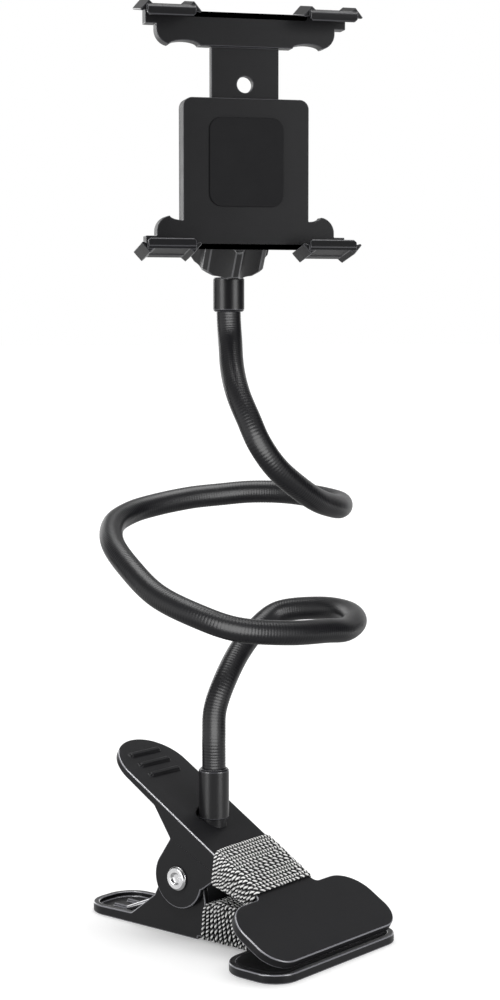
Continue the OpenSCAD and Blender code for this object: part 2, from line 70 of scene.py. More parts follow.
camera_data = bpy.data.cameras.new("camera")
camera_data.lens = LENS
camera_data.sensor_width = SENSOR_WIDTH
camera = bpy.data.objects.new("camera", camera_data)
scene.collection.objects.link(camera)
camera.location = CAMERA_AT
camera.rotation_euler = (math.radians(90 - TILT_DOWN), 0, math.radians(-HEADING))
scene.camera = camera
print("camera at", CAMERA_AT)

# %% [markdown]
# ## Places on the clamp
# The clamp is turned on the table, and the upper jaw leans on the lower one. Two small helpers take
# a point in the clamp's own directions (along the jaw, along the rivet, up) to the table's. Lengths
# are in millimetres up to that point, as on a drawing.

# %% Places on the clamp
CLAMP_YAW = math.radians(-54)
SLOPE = math.radians(30)
REACH = 58
PAD_T = 3
PLATE_T = 2.4
PLATE_H = 17.5
JAW_W = 29
WALL_T = 2.2
LIP_GAP = 1.05
PIVOT_H = PAD_T + LIP_GAP + REACH * math.sin(SLOPE) - (PLATE_H - PAD_T) * math.cos(SLOPE)
SIDE_CLEAR = 0.3
LOWER_W = JAW_W - 2 * (WALL_T + SIDE_CLEAR)
NECK_ALONG = 3.6


def on_clamp(along, across, up):
    """A point of the lower jaw, from the pivot's foot, in metres."""
    return Vector((along * math.cos(CLAMP_YAW) - across * math.sin(CLAMP_YAW),
                   along * math.sin(CLAMP_YAW) + across * math.cos(CLAMP_YAW), up)) * MM


def on_upper(along, across, out):
    """A point of the upper jaw, along its plate and out from the pivot, in metres."""
    return on_clamp(along * math.cos(SLOPE) + out * math.sin(SLOPE), across,
                    PIVOT_H - along * math.sin(SLOPE) + out * math.cos(SLOPE))


print("pivot height", round(PIVOT_H, 3), "mm")

# %% [markdown]
# ## Working helpers
# An operator acts on everything that is selected, so each step starts by selecting one object only.

# %% Working helpers
def select_only(piece):
    if bpy.context.object and bpy.context.object.mode != "OBJECT":
        bpy.ops.object.mode_set(mode="OBJECT")
    bpy.ops.object.select_all(action="DESELECT")
    piece.select_set(True)
    bpy.context.view_layer.objects.active = piece


def apply_all_modifiers(piece):
    select_only(piece)
    for modifier in list(piece.modifiers):
        bpy.ops.object.modifier_apply(modifier=modifier.name)


def finish_piece(piece, body, slot, material, *nodes):
    """Gives a piece its material and body, and hides the solids that it stands for."""
    piece.data.materials.clear()
    piece.data.materials.append(material)
    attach(piece, body)
    if nodes:
        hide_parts(*nodes)
    print(piece.name, len(piece.data.polygons), "faces on", body)


# %% [markdown]
# ## Tone and grain
# Moulded plastic is never one flat colour. It has a fine spark-eroded grain from the mould, and its
# gloss drifts a little from place to place. Both come from noise in the piece's own coordinates, so
# they stay on the surface from any side. One group serves every finish, each with its own values.
# The colour of the bevelled edges is painted paler, a painted highlight for their bright lines, and they
# are glossier with a coat there.

# %% Tone and grain
WIDE_DRIFT_SIZE = 55.0
SMEAR_SIZE = 160.0
# Painted highlight: how many times paler the colour of the bevelled edges is made.
PAINTED_EDGE_HIGHLIGHT = 9.0
EDGE_GLOSSIER = 0.16
COAT_ROUGHNESS = 0.15
BUMP_HEIGHT = 0.0001


def new_group(name, inputs, outputs):
    group = bpy.data.node_groups.new(name, "ShaderNodeTree")
    for label, default in inputs:
        kind = "NodeSocketColor" if isinstance(default, tuple) else "NodeSocketFloat"
        group.interface.new_socket(label, in_out="INPUT", socket_type=kind).default_value = default
    for label, kind in outputs:
        group.interface.new_socket(label, in_out="OUTPUT", socket_type=kind)
    ends = group.nodes.new("NodeGroupInput"), group.nodes.new("NodeGroupOutput")
    return group, ends[0], ends[1]


def maths(tree, operation, a, b):
    node = tree.nodes.new("ShaderNodeMath")
    node.operation = operation
    for socket, value in zip(node.inputs, (a, b)):
        if isinstance(value, (int, float)):
            socket.default_value = value
        else:
            tree.links.new(value, socket)
    return node.outputs[0]


def noise(tree, vector, scale, detail):
    node = tree.nodes.new("ShaderNodeTexNoise")
    node.inputs["Detail"].default_value = detail
    tree.links.new(vector, node.inputs["Vector"])
    if isinstance(scale, (int, float)):
        node.inputs["Scale"].default_value = scale
    else:
        tree.links.new(scale, node.inputs["Scale"])
    return node.outputs["Fac"]


def build_surface_group():
    """Colour, roughness and height of a plain surface with drift and a fine grain, and a painted highlight
    on the edges.
    """
    group, given, result = new_group(
        "tone and grain",
        [("Color", (0.03, 0.03, 0.03, 1)), ("Roughness", 0.45), ("Drift", 0.2), ("Gloss drift", 0.12),
         ("Grain size", 3200.0), ("Edge highlight and gloss", 0.0)],
        [("Color", "NodeSocketColor"), ("Roughness", "NodeSocketFloat"), ("Height", "NodeSocketFloat"),
         ("Highlight and gloss", "NodeSocketFloat")])
    place = group.nodes.new("ShaderNodeTexCoord").outputs["Object"]
    wide = noise(group, place, WIDE_DRIFT_SIZE, 3.0)
    fine = noise(group, place, given.outputs["Grain size"], 2.0)
    smear = noise(group, place, SMEAR_SIZE, 5.0)
    edge = group.nodes.new("ShaderNodeAttribute")
    edge.attribute_name = "edge"
    highlight_and_gloss = maths(group, "MULTIPLY", edge.outputs["Fac"], given.outputs["Edge highlight and gloss"])
    drift = maths(group, "MULTIPLY", maths(group, "SUBTRACT", wide, 0.5), given.outputs["Drift"])
    # Painted highlight: the colour on the bevelled edges is made paler, so they draw bright lines.
    painted_highlight = maths(group, "ADD", maths(group, "MULTIPLY", highlight_and_gloss, PAINTED_EDGE_HIGHLIGHT), 1.0)
    tone_and_highlight = maths(group, "MULTIPLY", maths(group, "ADD", drift, 1.0), painted_highlight)
    tint = group.nodes.new("ShaderNodeVectorMath")
    tint.operation = "SCALE"
    group.links.new(given.outputs["Color"], tint.inputs[0])
    group.links.new(tone_and_highlight, tint.inputs["Scale"])
    gloss = maths(group, "MULTIPLY", maths(group, "SUBTRACT", smear, 0.5), given.outputs["Gloss drift"])
    rough = maths(group, "ADD", given.outputs["Roughness"], gloss)
    rough = maths(group, "SUBTRACT", rough, maths(group, "MULTIPLY", highlight_and_gloss, EDGE_GLOSSIER))
    group.links.new(tint.outputs[0], result.inputs["Color"])
    group.links.new(rough, result.inputs["Roughness"])
    group.links.new(fine, result.inputs["Height"])
    group.links.new(highlight_and_gloss, result.inputs["Highlight and gloss"])
    return group


SURFACE = build_surface_group()
print("group", SURFACE.name, "sockets", len(SURFACE.interface.items_tree))


# %% Materials from the group
def surface_material(name, color, roughness, grain=0.06, grain_size=3200.0, drift=0.2,
                     gloss_drift=0.12, metallic=0.0, specular=0.5, sheen=0.0, highlight_and_gloss=0.0):
    material = bpy.data.materials.new(name)
    material.use_nodes = True
    tree = material.node_tree
    shader = tree.nodes["Principled BSDF"]
    surface = tree.nodes.new("ShaderNodeGroup")
    surface.node_tree = SURFACE
    surface.inputs["Color"].default_value = (*color, 1)
    surface.inputs["Roughness"].default_value = roughness
    surface.inputs["Drift"].default_value = drift
    surface.inputs["Gloss drift"].default_value = gloss_drift
    surface.inputs["Grain size"].default_value = grain_size
    surface.inputs["Edge highlight and gloss"].default_value = highlight_and_gloss
    bump = tree.nodes.new("ShaderNodeBump")
    bump.inputs["Strength"].default_value = grain
    bump.inputs["Distance"].default_value = BUMP_HEIGHT
    tree.links.new(surface.outputs["Color"], shader.inputs["Base Color"])
    tree.links.new(surface.outputs["Roughness"], shader.inputs["Roughness"])
    tree.links.new(surface.outputs["Height"], bump.inputs["Height"])
    tree.links.new(bump.outputs["Normal"], shader.inputs["Normal"])
    if highlight_and_gloss:
        tree.links.new(surface.outputs["Highlight and gloss"], shader.inputs["Coat Weight"])
        shader.inputs["Coat Roughness"].default_value = COAT_ROUGHNESS
    shader.inputs["Metallic"].default_value = metallic
    shader.inputs["Specular IOR Level"].default_value = specular
    shader.inputs["Sheen Weight"].default_value = sheen
    return material


jaw_plastic = surface_material("jaw plastic", (0.010, 0.010, 0.011), 0.36, grain=0.10, specular=0.16,
                               highlight_and_gloss=1.6)
cradle_plastic = surface_material("cradle plastic", (0.010, 0.010, 0.011), 0.37, grain=0.10, specular=0.18,
                                  highlight_and_gloss=0.45)
nut_plastic = surface_material("nut plastic", (0.022, 0.022, 0.023), 0.40, grain=0.08, specular=0.5,
                               highlight_and_gloss=0.4)
liner_rubber = surface_material("liner rubber", (0.007, 0.007, 0.008), 0.75, grain=0.35,
                                grain_size=2200.0, specular=0.2)
pad_rubber = surface_material("pad rubber", (0.007, 0.007, 0.008), 0.70, grain=0.25, specular=0.2)
ferrule_metal = surface_material("ferrule metal", (0.008, 0.008, 0.009), 0.34, grain=0.03,
                                 grain_size=4200.0, specular=0.36, highlight_and_gloss=0.6)
seat_plastic = surface_material("seat plastic", (0.62, 0.62, 0.60), 0.42, grain=0.06)
ball_chrome = surface_material("ball chrome", (0.80, 0.80, 0.82), 0.10, grain=0.01, metallic=1.0,
                               gloss_drift=0.05)
screw_steel = surface_material("screw steel", (0.58, 0.58, 0.60), 0.30, grain=0.08, metallic=1.0)
spring_steel = surface_material("spring steel", (0.66, 0.66, 0.68), 0.24, grain=0.06, metallic=1.0)
print("materials", len(bpy.data.materials))

# %% [markdown]
# ## Edges that catch the light
# A moulded part has no knife edge. Its rounded edges catch a lamp, and their paler painted colour
# adds a painted highlight, in the bright line along the handle and round the pads. The CAD solid
# already has the right shape, so a copy of it is welded into one shell, its flats are joined up
# again, and a narrow bevel goes round every sharp edge. Weighted normals keep the flats flat. The
# bevel gives its own faces a second material slot, which becomes an attribute named edge for the finish.

# %% Edges that catch the light
EDGE_MARKS = [bpy.data.materials.new("flat mark"), bpy.data.materials.new("edge mark")]
BEVEL_SEGMENTS = 3
SHARP_FROM = math.radians(34)
FLAT_WITHIN = math.radians(0.6)
WELD_WITHIN = 3e-6
JAW_EDGE = 0.36
GRIPS_ALONG = -10
GRIPS_HALF = 9.5
SEAT_R = 7


def rounded_copy(node, name, width, unhighlighted=None):
    """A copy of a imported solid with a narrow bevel, and the attribute edge on the bevel's faces."""
    piece = bpy.data.objects.new(name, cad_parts[node].data.copy())
    scene.collection.objects.link(piece)
    select_only(piece)
    bpy.ops.object.mode_set(mode="EDIT")
    bpy.ops.mesh.select_all(action="SELECT")
    bpy.ops.mesh.customdata_custom_splitnormals_clear()
    bpy.ops.mesh.remove_doubles(threshold=WELD_WITHIN)
    bpy.ops.mesh.dissolve_limited(angle_limit=FLAT_WITHIN)
    bpy.ops.object.mode_set(mode="OBJECT")
    bevel = piece.modifiers.new("rounded edges", "BEVEL")
    bevel.width = width * MM
    bevel.segments = BEVEL_SEGMENTS
    bevel.limit_method = "ANGLE"
    bevel.angle_limit = SHARP_FROM
    bevel.use_clamp_overlap = False
    bevel.miter_outer = "MITER_ARC"
    piece.data.materials.clear()
    for mark in EDGE_MARKS:
        piece.data.materials.append(mark)
    piece.data.polygons.foreach_set("material_index", [0] * len(piece.data.polygons))
    bevel.material = 1
    apply_all_modifiers(piece)
    on_edge = [float(face.material_index) for face in piece.data.polygons]
    if unhighlighted:
        on_edge = [0.0 if unhighlighted(face.center / MM) else mark
                   for mark, face in zip(on_edge, piece.data.polygons)]
    piece.data.attributes.new("edge", "FLOAT", "FACE").data.foreach_set("value", on_edge)
    piece.data.polygons.foreach_set("material_index", [0] * len(on_edge))
    bpy.ops.object.shade_smooth_by_angle(angle=math.radians(40))
    piece.modifiers.new("flat flats", "WEIGHTED_NORMAL").keep_sharp = True
    apply_all_modifiers(piece)
    return piece


def grips_and_seat(place):
    """The grip ribs and the neck's seat on the upper jaw get no painted highlight and no extra gloss on
    their edges.
    """
    along = place.x * math.cos(CLAMP_YAW) + place.y * math.sin(CLAMP_YAW)
    beside = -place.x * math.sin(CLAMP_YAW) + place.y * math.cos(CLAMP_YAW)
    out = along * math.sin(SLOPE) + (place.z - PIVOT_H) * math.cos(SLOPE)
    on_seat = math.hypot(along - NECK_ALONG, beside) < SEAT_R
    on_grips = out > PLATE_H - 0.5 and along < GRIPS_ALONG and abs(beside) < GRIPS_HALF
    return on_seat or on_grips


upper_jaw = rounded_copy("upper_jaw", "upper_jaw_moulding", JAW_EDGE, unhighlighted=grips_and_seat)
finish_piece(upper_jaw, "upper_clamp", "jaw_plastic", jaw_plastic, "upper_jaw")
lower_jaw = rounded_copy("lower_jaw", "lower_jaw_moulding", JAW_EDGE)
finish_piece(lower_jaw, "lower_clamp", "jaw_plastic", jaw_plastic, "lower_jaw")

# %% [markdown]
# The liners, the ferrules, the nut and the cradle are finished the same way, each with the edge
# that its process leaves: rubber is soft, turned metal has a fine broken edge, and the fluted nut
# has well rounded lands for the fingers.

# %% The other rounded pieces
ROUNDED = [
    ("upper_liner", "upper_liner_sheet", 0.25, "upper_clamp", "liner_rubber", liner_rubber),
    ("lower_liner", "lower_liner_sheet", 0.25, "lower_clamp", "liner_rubber", liner_rubber),
    ("base_ferrule", "base_ferrule_turned", 0.20, "upper_clamp", "ferrule_metal", ferrule_metal),
    ("top_ferrule", "top_ferrule_turned", 0.20, "upper_clamp", "ferrule_metal", ferrule_metal),
    ("locking_nut", "locking_nut_fluted", 0.35, "nut", "nut_plastic", nut_plastic),
    ("rear_cover", "rear_cover_moulding", 0.30, "cradle", "cradle_plastic", cradle_plastic),
    ("cradle_base", "cradle_base_moulding", 0.22, "cradle", "cradle_plastic", cradle_plastic),
    ("cradle_slider", "cradle_slider_moulding", 0.22, "slider", "cradle_plastic", cradle_plastic),
    ("face_pad", "face_pad_strip", 0.20, "cradle", "pad_rubber", pad_rubber),
    ("claw_pad_lower_left", "claw_skin_lower_left", 0.20, "cradle", "pad_rubber", pad_rubber),
    ("claw_pad_lower_right", "claw_skin_lower_right", 0.20, "cradle", "pad_rubber", pad_rubber),
    ("claw_pad_upper_left", "claw_skin_upper_left", 0.20, "slider", "pad_rubber", pad_rubber),
    ("claw_pad_upper_right", "claw_skin_upper_right", 0.20, "slider", "pad_rubber", pad_rubber),
]
for node, name, width, body, slot, material in ROUNDED:
    finish_piece(rounded_copy(node, name, width), body, slot, material, node)

# %% [markdown]
# ## Small metal parts
# The screws, the washer, the ball and its cup are already the right shape and mostly hidden. They
# stay as they are and only get a better material.

# %% Small metal parts
KEPT = {"base_screw": screw_steel, "base_washer": screw_steel, "cover_screws": screw_steel,
        "ball_stud": ball_chrome, "ball_seat": seat_plastic}
for node, material in KEPT.items():
    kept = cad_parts[node]
    kept.data.materials.clear()
    kept.data.materials.append(material)
print("kept as packed:", ", ".join(KEPT))

# %% [markdown]
# ## The rivet
# The rivet's head is turned and rolled, so its marks run in circles round the hole. Rings of a wave
# texture, centred and turned onto the rivet's axis by a Mapping node, give them.

# %% The rivet
def turned_steel():
    material = surface_material("rivet steel", (0.78, 0.78, 0.79), 0.22, grain=0.05, metallic=1.0)
    tree = material.node_tree
    place = tree.nodes.new("ShaderNodeTexCoord")
    centre = tree.nodes.new("ShaderNodeMapping")
    centre.vector_type = "TEXTURE"
    centre.inputs["Location"].default_value = (0, 0, PIVOT_H * MM)
    centre.inputs["Rotation"].default_value = (0, 0, CLAMP_YAW)
    rings = tree.nodes.new("ShaderNodeTexWave")
    rings.wave_type = "RINGS"
    rings.rings_direction = "Y"
    rings.inputs["Scale"].default_value = 900.0
    rings.inputs["Distortion"].default_value = 0.6
    bump = tree.nodes.new("ShaderNodeBump")
    bump.inputs["Strength"].default_value = 0.25
    bump.inputs["Distance"].default_value = 0.00005
    grain = [n for n in tree.nodes if n.type == "BUMP" and n is not bump][0]
    tree.links.new(place.outputs["Object"], centre.inputs["Vector"])
    tree.links.new(centre.outputs["Vector"], rings.inputs["Vector"])
    tree.links.new(rings.outputs["Fac"], bump.inputs["Height"])
    tree.links.new(grain.outputs["Normal"], bump.inputs["Normal"])
    tree.links.new(bump.outputs["Normal"], tree.nodes["Principled BSDF"].inputs["Normal"])
    return material


finish_piece(rounded_copy("hinge_rivet", "hinge_rivet_rolled", 0.15), "lower_clamp", "rivet_steel",
             turned_steel(), "hinge_rivet")

# %% [markdown]
# ## Round wire and cord
# Wire and yarn are round in section along a path. A curve with a bevel is the direct way to draw
# them: the points are worked out, the curve gets its thickness, and it is then made a mesh.

# %% Round wire and cord
def wire(name, points, radius, sides=8):
    curve = bpy.data.curves.new(name, "CURVE")
    curve.dimensions = "3D"
    curve.bevel_depth = radius * MM
    curve.bevel_resolution = (sides - 4) // 2
    curve.use_fill_caps = True
    path = curve.splines.new("POLY")
    path.points.add(len(points) - 1)
    path.points.foreach_set("co", [c for p in points for c in (*p, 1)])
    piece = bpy.data.objects.new(name, curve)
    scene.collection.objects.link(piece)
    select_only(piece)
    bpy.ops.object.convert(target="MESH")
    piece = bpy.context.object
    bpy.ops.object.shade_smooth_by_angle(angle=math.radians(60))
    return piece


# %% [markdown]
# ## The clamp's spring
# One wire: a leg that presses on the lower handle, five turns round the rivet, and a leg under the
# upper handle. When the jaws open, one leg follows each jaw and the turns between them share the
# twist.

# %% The clamp's spring
COIL_R = 4.6
WIRE_R = 1.0
TURNS = 5
HALF = 6.5
LEAN = math.radians(15)
FOOT_ALONG = -31
TRAY_TOP = 1.45
COIL_STEPS = 26
TOUCH = 0.05
FOOT_IN = 0.6


def torsion_spring_points():
    start, end = math.radians(-72), math.pi / 2 - SLOPE - LEAN + TURNS * 2 * math.pi
    steps = COIL_STEPS * TURNS
    coil = []
    for i in range(steps + 1):
        turn = start + (end - start) * i / steps
        coil.append((COIL_R * math.cos(turn), -HALF + 2 * HALF * i / steps,
                     PIVOT_H + COIL_R * math.sin(turn)))
    foot = (FOOT_ALONG, -HALF + FOOT_IN, TRAY_TOP + WIRE_R)
    leg = (PLATE_H - PLATE_T - WIRE_R - TOUCH - COIL_R * math.cos(LEAN)) / math.sin(LEAN)
    tip = (coil[-1][0] - leg * math.sin(end), HALF, coil[-1][2] + leg * math.cos(end))
    return [on_clamp(*p) for p in [foot] + coil + [tip]]


spring = wire("clamp_spring_wire", torsion_spring_points(), WIRE_R, sides=12)
spring.data.materials.append(spring_steel)
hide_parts("torsion_spring")
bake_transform(spring)
print("spring wire", len(spring.data.polygons), "faces")

# %% [markdown]
# ## The claw springs
# Two fine extension springs lie in the cradle's channel, each reaching up from the cradle to the
# slider. They stretch as the claws are pulled apart.

# %% The claw springs
HEAD_AT = Vector((6, -9, 231.5))
SPRING_X = 13.3
SPRING_Y = -21.2
SPRING_LOW = 6.2
SPRING_HIGH = 25.6
SPRING_R = 1.4
SPRING_TURNS = 14
SPRING_STEPS = 16
FINE_WIRE_R = 0.32


def claw_spring_points(side):
    points = []
    steps = SPRING_STEPS * SPRING_TURNS
    for i in range(steps + 1):
        turn = 2 * math.pi * i / SPRING_STEPS
        up = SPRING_LOW + (SPRING_HIGH - SPRING_LOW) * i / steps
        points.append((HEAD_AT + Vector((side * SPRING_X + SPRING_R * math.cos(turn),
                                         SPRING_Y + SPRING_R * math.sin(turn), up))) * MM)
    return points


for side, label in ((-1, "left"), (1, "right")):
    claw_spring = wire("claw_spring_wire_" + label, claw_spring_points(side), FINE_WIRE_R)
    claw_spring.data.materials.append(spring_steel)
    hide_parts("claw_spring_" + label)
    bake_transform(claw_spring)
    print(claw_spring.name, len(claw_spring.data.polygons), "faces")

# %% [markdown]
# ## The bendable neck
# The neck's sheath is drawn over a wound wire, and the turns of that wire show through it as fine
# rings, most of all on the outside of a bend. One ring is modelled by extruding a circle, an Array
# repeats it, and a Curve modifier bends the row along the neck's route. The route is the one of the
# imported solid, so the solid's ferrules and the sheath line up.

# %% Route of the neck
SEAT_Z = PIVOT_H - NECK_ALONG * math.tan(SLOPE) + PLATE_H / math.cos(SLOPE) + 0.7
BASE_FERRULE_LEN = 17
FERRULE_TOP = SEAT_Z + BASE_FERRULE_LEN
NECK_FOOT = on_clamp(NECK_ALONG, 0, 0) / MM
TOP_FERRULE_BELOW_BALL = 9.7
TOP_FERRULE_LEN = 11.3
TOP_FERRULE_LOW = HEAD_AT.z - TOP_FERRULE_BELOW_BALL - TOP_FERRULE_LEN
ROUTE = [(3, -1, 76), (7, 2, 85), (14, 9, 94), (22, 15, 101), (31, 18, 106), (43, 10, 108),
         (49, -2, 108), (48, -16, 107), (41, -28, 106), (32, -36, 107), (17, -44, 108),
         (0, -46, 110), (-12, -40, 114), (-22, -27, 119), (-28, -13, 126), (-31, 4, 133),
         (-28, 19, 138), (-20, 30, 141), (-10, 36, 143), (3, 39, 145), (14, 39, 146),
         (25, 36, 147), (36, 30, 147), (45, 20, 146), (49, 7, 145), (44, -9, 145), (34, -21, 148),
         (25, -29, 153), (16, -34, 160), (10, -35, 168), (7, -32, 176), (5, -26, 184),
         (5, -18, 192), (6, -11, 201)]


def neck_route():
    """The chosen points, with a straight run inside each ferrule."""
    foot = [(NECK_FOOT.x, NECK_FOOT.y, z) for z in (FERRULE_TOP - 6, FERRULE_TOP + 3, FERRULE_TOP + 11)]
    top = [(HEAD_AT.x, HEAD_AT.y, z) for z in (TOP_FERRULE_LOW - 2, TOP_FERRULE_LOW + 5)]
    return foot + ROUTE + top


def between(a, b, c, d, t):
    """Catmull-Rom: the point at t between b and c, with a and d on either side."""
    return 0.5 * (2 * b + (c - a) * t + (2 * a - 5 * b + 4 * c - d) * t * t
                  + (3 * b - a - 3 * c + d) * t ** 3)


def smooth_path(points, parts):
    p = [Vector(q) for q in points]
    p = [2 * p[0] - p[1]] + p + [2 * p[-1] - p[-2]]
    path = [between(*p[i:i + 4], k / parts) for i in range(len(p) - 3) for k in range(parts)]
    return path + [p[-2]]


PATH_PARTS = 10
neck_path = smooth_path(neck_route(), PATH_PARTS)
neck_length = sum((b - a).length for a, b in zip(neck_path, neck_path[1:]))
print("neck length", round(neck_length, 1), "mm")

# %% One ring, repeated and bent
RING_PITCH = 1.0
NECK_R = 4.0
RING_DEPTH = 0.06
RING_SHOULDER = 0.015
RING_SIDES = 28


def ribbed_neck():
    bpy.ops.object.select_all(action="DESELECT")
    bpy.ops.mesh.primitive_circle_add(vertices=RING_SIDES, radius=(NECK_R - RING_DEPTH) * MM,
                                      location=(0, 0, 0), rotation=(0, math.pi / 2, 0))
    ring = bpy.context.object
    bpy.ops.object.transform_apply(location=True, rotation=True, scale=True)
    bpy.ops.object.mode_set(mode="EDIT")
    bpy.ops.mesh.select_all(action="SELECT")
    radius = NECK_R - RING_DEPTH
    for share, wanted in ((0.2, NECK_R - RING_SHOULDER), (0.3, NECK_R), (0.3, NECK_R - RING_SHOULDER),
                          (0.2, NECK_R - RING_DEPTH)):
        bpy.ops.mesh.extrude_region_move(
            TRANSFORM_OT_translate={"value": (share * RING_PITCH * MM, 0, 0)})
        bpy.ops.transform.resize(value=(1, wanted / radius, wanted / radius))
        radius = wanted
    bpy.ops.object.mode_set(mode="OBJECT")
    ring.name = "neck_sheath_ribbed"
    row = ring.modifiers.new("row", "ARRAY")
    row.count = int(neck_length / RING_PITCH)
    row.use_relative_offset = False
    row.use_constant_offset = True
    row.constant_offset_displace = (neck_length / row.count * MM, 0, 0)
    row.use_merge_vertices = True
    row.merge_threshold = 0.05 * MM
    route = bpy.data.curves.new("neck route", "CURVE")
    route.dimensions = "3D"
    route.twist_mode = "MINIMUM"
    line = route.splines.new("POLY")
    line.points.add(len(neck_path) - 1)
    line.points.foreach_set("co", [c for p in neck_path for c in (*(p * MM), 1)])
    guide = bpy.data.objects.new("neck route", route)
    scene.collection.objects.link(guide)
    bend = ring.modifiers.new("bend", "CURVE")
    bend.object = guide
    bend.deform_axis = "POS_X"
    apply_all_modifiers(ring)
    bpy.data.objects.remove(guide)
    select_only(ring)
    bpy.ops.object.mode_set(mode="EDIT")
    bpy.ops.mesh.select_all(action="DESELECT")
    bpy.ops.mesh.select_non_manifold()
    bpy.ops.mesh.edge_face_add()
    bpy.ops.mesh.select_all(action="SELECT")
    bpy.ops.mesh.normals_make_consistent(inside=False)
    bpy.ops.object.mode_set(mode="OBJECT")
    bpy.ops.object.shade_smooth_by_angle(angle=math.radians(50))
    return ring


neck_sheath = surface_material("neck sheath", (0.004, 0.004, 0.005), 0.35, grain=0.03, grain_size=2600.0,
                               specular=0.50)
neck = ribbed_neck()
finish_piece(neck, "upper_clamp", "neck_sheath", neck_sheath, "gooseneck")

# %% [markdown]
# ## The cord on the jaws
# A soft cord of one black and one white yarn is wound round each jaw's neck, turn beside turn, and
# glued. Modelling it as one striped tube would lose the way the yarns stand over each other, so
# both yarns are real: each follows the winding, offset from its centre, and turns round it.

# %% Yarn
BLACK_R = 0.32
WHITE_R = 0.31
YARN_OUT = 0.25
YARN_SIDES = 6
TWIST = 1.8
SLACK_STEP = 0.09
LEAST_TWIST = 0.6
MOST_TWIST = 1.45
ROW_SHIFT = 0.10
TURN_STEPS = 368


def rounded_loop(half, low, high, radius, share):
    """The point and the outward direction at a share of the way round a rectangle with round corners."""
    flat, side, arc = 2 * (half - radius), high - low - 2 * radius, math.pi * radius / 2
    left = share * (2 * flat + 2 * side + 4 * arc)
    corners = [(half - radius, low + radius), (half - radius, high - radius),
               (-half + radius, high - radius), (-half + radius, low + radius)]
    runs = [(flat / 2, 0), (arc, 1), (side, 0), (arc, 1), (flat, 0), (arc, 1), (side, 0), (arc, 1),
            (flat / 2, 0)]
    starts = [((0, low), 0), (corners[0], 0), ((half, low + radius), 1), (corners[1], 1),
              ((half - radius, high), 2), (corners[2], 2), ((-half, high - radius), 3), (corners[3], 3),
              ((-half + radius, low), 0)]
    for (length, is_arc), ((x, y), quarter) in zip(runs, starts):
        if left <= length or length == runs[-1][0] and (x, y) == starts[-1][0]:
            outward = quarter * math.pi / 2 - math.pi / 2
            if is_arc:
                outward += left / radius
                return (x + radius * math.cos(outward), y + radius * math.sin(outward)), outward
            heading = outward + math.pi / 2
            return (x + left * math.cos(heading), y + left * math.sin(heading)), outward
        left -= length
    return (0, low), -math.pi / 2


def winding(turns, section, place, seed):
    """The centre line of a wound cord, with the outward direction at each point."""
    chance = random.Random(seed)
    shift = [chance.uniform(-ROW_SHIFT, ROW_SHIFT) for _ in range(turns + 2)]
    line = []
    for i in range(turns * TURN_STEPS):
        share = i / TURN_STEPS
        row, part = int(share), share - int(share)
        wobble = shift[row] * (1 - part) + shift[row + 1] * part
        point, outward = section(share / turns, part)
        line.append((place(share / turns, point, wobble), place(share / turns, (
            point[0] + math.cos(outward), point[1] + math.sin(outward)), wobble)))
    return [(p, (q - p).normalized()) for p, q in line]


def yarns(name, line, phase_seed):
    """The two yarns that turn round a wound centre line."""
    chance = random.Random(phase_seed)
    black, white = [], []
    turned = 0.0
    slack = 1.0
    for i, (point, outward) in enumerate(line):
        ahead = (line[min(i + 1, len(line) - 1)][0] - line[max(i - 1, 0)][0]).normalized()
        across = ahead.cross(outward).normalized()
        if i:
            slack = min(MOST_TWIST, max(LEAST_TWIST, slack + chance.uniform(-SLACK_STEP, SLACK_STEP)))
            turned += (point - line[i - 1][0]).length / MM / TWIST * 2 * math.pi * slack
        offset = (outward * math.cos(turned) + across * math.sin(turned)) * YARN_OUT * MM
        black.append(point + offset)
        white.append(point - offset)
    return (wire(name + "_black_yarn", black, BLACK_R, sides=YARN_SIDES),
            wire(name + "_white_yarn", white, WHITE_R, sides=YARN_SIDES))


print("yarn twist", TWIST, "mm")

# %% [markdown]
# The upper winding follows the jaw's neck: a straight edge by the pad, and a leaning edge at the
# ears, so its turns fan out a little down the sides.

# %% Windings
CORD_OUT = 0.77
UPPER_TURNS = 15
LOWER_TURNS = 10
UPPER_CORNER = 2.4
LOWER_CORNER = 2.0
LOWER_CORD_Z = 0.72
CHEEK_STARTS = 12.6
CHEEK_H = 8.5
CHEEK_RISE = 0.254
UPPER_START = 13.2
UPPER_RUN = 16.4
EAR_EDGE = 7.3
EAR_LEAN = 5.6
EAR_BOW = 1.4
CHEEK_DEPTH = 10
PAD_EDGE = 29.5
LOWER_START = 10.9
LOWER_RUN = 14.5
RISE_STARTS = 10.4
RISE_H = 11.3
RISE = 0.33
PEAK_ALONG = 18
PEAK_H = 13.8
FALL = 0.135
LOWER_LEFT = 7.6
LEFT_LEAN = 1.8 / 12.5
LOWER_RIGHT = 29.2
RIGHT_LEAN = 4.4 / 14


def upper_lower_edge(along):
    """The lower edge of the upper jaw's cheek, with the cord's own thickness."""
    return CHEEK_H + (along - CHEEK_STARTS) * CHEEK_RISE - CORD_OUT


def upper_section(share, part):
    middle = UPPER_START + share * UPPER_RUN
    return rounded_loop(JAW_W / 2 + CORD_OUT, upper_lower_edge(middle), PLATE_H + CORD_OUT,
                        UPPER_CORNER, part)


def upper_place(share, point, wobble):
    down = (PLATE_H + CORD_OUT - point[1]) / CHEEK_DEPTH
    bow = (abs(point[0]) / (JAW_W / 2 + CORD_OUT)) ** 8
    left = EAR_EDGE + EAR_LEAN * down + EAR_BOW * bow * (1 - down)
    return on_upper(left + (PAD_EDGE - left) * share + wobble, point[0], point[1])


def lower_section(share, part):
    along = LOWER_START + share * LOWER_RUN
    rising = RISE_H + (along - RISE_STARTS) * RISE
    falling = PEAK_H - (along - PEAK_ALONG) * FALL
    top = rising if along < PEAK_ALONG else falling
    return rounded_loop(LOWER_W / 2 + CORD_OUT, LOWER_CORD_Z, top + CORD_OUT, LOWER_CORNER, part)


